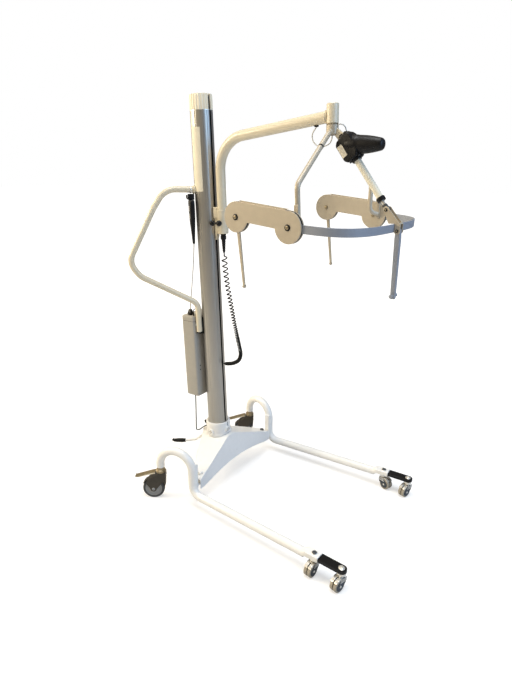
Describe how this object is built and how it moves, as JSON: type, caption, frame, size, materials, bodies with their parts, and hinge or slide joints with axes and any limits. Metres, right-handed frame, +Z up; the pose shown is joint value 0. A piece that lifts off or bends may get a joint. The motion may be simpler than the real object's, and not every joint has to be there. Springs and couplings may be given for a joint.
{
  "type": "mobile patient lift hoist",
  "caption": "Wheeled patient lift with opening legs, a leaning mast, a sliding boom and a powered tilting sling cradle with hook arms.",
  "frame": {"origin": "the floor point under the middle of the whole lift", "axes": "+X towards the open front of the legs, +Y towards the lift's left, +Z up"},
  "size_m": [1.084, 0.7616, 1.6606],
  "materials": {
    "powder_white": "smooth warm white powder coat",
    "base_white": "glossy white powder coat",
    "column_metal": "satin anodised silver grey",
    "cradle_grey": "satin light grey powder coat",
    "black_plastic": "fine textured moulding",
    "black_metal": "black paint",
    "cap_plastic": "ribbed cream moulding",
    "box_plastic": "warm grey moulding",
    "key_plastic": "grey key",
    "bright_metal": "bright turned metal",
    "rubber": "soft black rubber",
    "grey_tyre": "grey wheel and tread",
    "beige_tread": "beige grey tread",
    "brake_metal": "bronze coloured plated steel",
    "cord_black": "black cable jacket",
    "cord_grey": "light grey cable jacket"
  },
  "bodies": {
    "mast_and_base": {"base_housing": "base_white", "mast_column": "column_metal", "slot_strip": "rubber", "mast_cap": "cap_plastic", "handle_near": "powder_white", "handle_far": "powder_white", "handle_clamp": "black_plastic", "control_box": "box_plastic", "box_connector": "black_plastic", "handset_hook": "black_plastic", "handset": "black_plastic", "handset_cord": "cord_grey", "supply_cord": "cord_black", "coil_cord": "cord_black"},
    "handset_key_1": {"handset_key_1": "key_plastic"},
    "handset_key_2": {"handset_key_2": "key_plastic"},
    "pedal": {"pedal_bar": "powder_white", "pedal_grip_near": "rubber", "pedal_grip_far": "rubber"},
    "leg_near": {"leg_near_tube": "powder_white", "leg_near_bar": "black_metal"},
    "leg_far": {"leg_far_tube": "powder_white", "leg_far_bar": "black_metal"},
    "rear_castor_near_swivel": {"rear_castor_near_fork": "black_plastic"},
    "rear_castor_near_spin": {"rear_castor_near_wheel": "grey_tyre"},
    "rear_castor_near_lever": {"rear_castor_near_brake": "brake_metal"},
    "rear_castor_far_swivel": {"rear_castor_far_fork": "black_plastic"},
    "rear_castor_far_spin": {"rear_castor_far_wheel": "grey_tyre"},
    "rear_castor_far_lever": {"rear_castor_far_brake": "brake_metal"},
    "mid_castor_near_swivel": {"mid_castor_near_hood": "bright_metal"},
    "mid_castor_near_spin": {"mid_castor_near_wheels": "beige_tread"},
    "front_castor_near_swivel": {"front_castor_near_hood": "bright_metal"},
    "front_castor_near_spin": {"front_castor_near_wheels": "beige_tread"},
    "mid_castor_far_swivel": {"mid_castor_far_hood": "bright_metal"},
    "mid_castor_far_spin": {"mid_castor_far_wheels": "beige_tread"},
    "front_castor_far_swivel": {"front_castor_far_hood": "bright_metal"},
    "front_castor_far_spin": {"front_castor_far_wheels": "beige_tread"},
    "carriage_and_boom": {"carriage": "powder_white", "boom_tube": "powder_white", "boom_tee": "powder_white", "boom_gland": "black_plastic", "boom_cord": "cord_grey"},
    "clamp_handle": {"clamp_handle": "black_plastic"},
    "cradle_frame": {"swivel_hub": "powder_white", "yoke_near": "cradle_grey", "yoke_far": "cradle_grey", "side_plate_near": "cradle_grey", "side_plate_far": "cradle_grey", "drive_cord": "cord_grey"},
    "rear_arm_near": {"rear_arm_near": "cradle_grey"},
    "rear_arm_far": {"rear_arm_far": "cradle_grey"},
    "cradle_tilt": {"cradle_bar": "cradle_grey", "front_disc_near": "black_metal", "front_disc_far": "black_metal", "clevis_bracket": "cradle_grey"},
    "front_arm": {"front_arm": "cradle_grey"},
    "actuator": {"actuator_housing": "black_plastic", "actuator_tube": "bright_metal"},
    "actuator_rod": {"actuator_rod": "bright_metal"}
  },
  "joints": [
    {"name": "handset_key_1_press", "type": "slide", "parent": "mast_and_base", "child": "handset_key_1", "axis": [0.6013, 0.7986, 0.0259], "range_m": [0, 0.001], "stiffness_N_per_m": 400},
    {"name": "handset_key_2_press", "type": "slide", "parent": "mast_and_base", "child": "handset_key_2", "axis": [0.6013, 0.7986, 0.0259], "range_m": [0, 0.001], "stiffness_N_per_m": 400},
    {"name": "leg_near_spread", "type": "hinge", "parent": "mast_and_base", "child": "leg_near", "pos_m": [-0.20934, -0.2106, 0.09], "axis": [0, 0, -1], "range_deg": [-3, 9]},
    {"name": "leg_far_spread", "type": "hinge", "parent": "mast_and_base", "child": "leg_far", "pos_m": [-0.20934, 0.2594, 0.09], "axis": [0, 0, 1], "range_deg": [-3, 9]},
    {"name": "pedal_rock", "type": "hinge", "parent": "mast_and_base", "child": "pedal", "pos_m": [-0.38534, 0.0244, 0.155], "axis": [1, 0, 0], "range_deg": [-4, 12]},
    {"name": "rear_castor_near_turn", "type": "hinge", "parent": "leg_near", "child": "rear_castor_near_swivel", "pos_m": [-0.35534, -0.3056, 0.1], "axis": [0, 0, 1], "continuous": true},
    {"name": "rear_castor_near_roll", "type": "hinge", "parent": "rear_castor_near_swivel", "child": "rear_castor_near_spin", "pos_m": [-0.38319, -0.3251, 0.048], "axis": [0.5736, -0.8192, 0], "continuous": true},
    {"name": "rear_castor_near_brake_press", "type": "hinge", "parent": "rear_castor_near_swivel", "child": "rear_castor_near_lever", "pos_m": [-0.37664, -0.32051, 0.131], "axis": [0.5736, -0.8192, 0], "range_deg": [0, 6]},
    {"name": "rear_castor_far_turn", "type": "hinge", "parent": "leg_far", "child": "rear_castor_far_swivel", "pos_m": [-0.35534, 0.3544, 0.1], "axis": [0, 0, 1], "continuous": true},
    {"name": "rear_castor_far_roll", "type": "hinge", "parent": "rear_castor_far_swivel", "child": "rear_castor_far_spin", "pos_m": [-0.38319, 0.3349, 0.048], "axis": [0.5736, -0.8192, 0], "continuous": true},
    {"name": "rear_castor_far_brake_press", "type": "hinge", "parent": "rear_castor_far_swivel", "child": "rear_castor_far_lever", "pos_m": [-0.37664, 0.33949, 0.131], "axis": [0.5736, -0.8192, 0], "range_deg": [0, 6]},
    {"name": "mid_castor_near_turn", "type": "hinge", "parent": "leg_near", "child": "mid_castor_near_swivel", "pos_m": [0.41166, -0.3006, 0.05], "axis": [0, 0, 1], "continuous": true},
    {"name": "mid_castor_near_roll", "type": "hinge", "parent": "mid_castor_near_swivel", "child": "mid_castor_near_spin", "pos_m": [0.40934, -0.31946, 0.025], "axis": [0.9925, -0.1219, 0], "continuous": true},
    {"name": "front_castor_near_turn", "type": "hinge", "parent": "leg_near", "child": "front_castor_near_swivel", "pos_m": [0.52266, -0.3064, 0.05], "axis": [0, 0, 1], "continuous": true},
    {"name": "front_castor_near_roll", "type": "hinge", "parent": "front_castor_near_swivel", "child": "front_castor_near_spin", "pos_m": [0.51806, -0.32484, 0.025], "axis": [0.9703, -0.2419, 0], "continuous": true},
    {"name": "mid_castor_far_turn", "type": "hinge", "parent": "leg_far", "child": "mid_castor_far_swivel", "pos_m": [0.41166, 0.3494, 0.05], "axis": [0, 0, 1], "continuous": true},
    {"name": "mid_castor_far_roll", "type": "hinge", "parent": "mid_castor_far_swivel", "child": "mid_castor_far_spin", "pos_m": [0.42951, 0.3429, 0.025], "axis": [0.342, 0.9397, 0], "continuous": true},
    {"name": "front_castor_far_turn", "type": "hinge", "parent": "leg_far", "child": "front_castor_far_swivel", "pos_m": [0.52266, 0.3552, 0.05], "axis": [0, 0, 1], "continuous": true},
    {"name": "front_castor_far_roll", "type": "hinge", "parent": "front_castor_far_swivel", "child": "front_castor_far_spin", "pos_m": [0.5171, 0.33703, 0.025], "axis": [0.9563, -0.2924, 0], "continuous": true},
    {"name": "carriage_lift", "type": "slide", "parent": "mast_and_base", "child": "carriage_and_boom", "axis": [-0.0431, 0, 0.9991], "range_m": [-0.3, 0.34], "deforming": ["coil_cord"]},
    {"name": "clamp_handle_turn", "type": "hinge", "parent": "carriage_and_boom", "child": "clamp_handle", "pos_m": [-0.26588, -0.0096, 1.17632], "axis": [0, -1, 0], "range_deg": [-90, 90]},
    {"name": "cradle_swivel", "type": "hinge", "parent": "carriage_and_boom", "child": "cradle_frame", "pos_m": [0.22275, 0.0244, 1.49717], "axis": [-0.0431, 0, 0.9991], "range_deg": [-90, 90], "deforming": ["boom_cord"]},
    {"name": "rear_arm_near_swing", "type": "hinge", "parent": "cradle_frame", "child": "rear_arm_near", "pos_m": [0.02407, -0.24429, 1.23617], "axis": [0.0714, 0.9974, 0.0031], "range_deg": [-50, 40]},
    {"name": "rear_arm_far_swing", "type": "hinge", "parent": "cradle_frame", "child": "rear_arm_far", "pos_m": [0.0645, 0.32026, 1.23791], "axis": [0.0714, 0.9974, 0.0031], "range_deg": [-50, 40]},
    {"name": "cradle_tilt", "type": "hinge", "parent": "cradle_frame", "child": "cradle_tilt", "pos_m": [0.25871, 0.02268, 1.21906], "axis": [0.0714, 0.9974, 0.0031], "range_deg": [-3, 25]},
    {"name": "front_arm_swing", "type": "hinge", "parent": "cradle_tilt", "child": "front_arm", "pos_m": [0.49102, 0.0061, 1.20306], "axis": [0.0714, 0.9974, 0.0031], "range_deg": [-28, 9]},
    {"name": "actuator_swing", "type": "hinge", "parent": "cradle_frame", "child": "actuator", "pos_m": [0.26669, 0.02128, 1.48996], "axis": [0.0714, 0.9974, 0.0031], "range_deg": [-5, 10], "deforming": ["drive_cord"]},
    {"name": "actuator_extend", "type": "slide", "parent": "actuator", "child": "actuator_rod", "axis": [0.6266, -0.0425, -0.7782], "range_m": [-0.012, 0.085]}
  ],
  "couplings": [
    {"joint": "leg_far_spread", "follows": "leg_near_spread", "ratio": 1},
    {"joint": "pedal_rock", "follows": "leg_near_spread", "ratio": 1.25},
    {"joint": "actuator_swing", "follows": "cradle_tilt", "ratio": 0.31716},
    {"joint": "actuator_extend", "follows": "cradle_tilt", "m_per_rad": 0.16563}
  ]
}
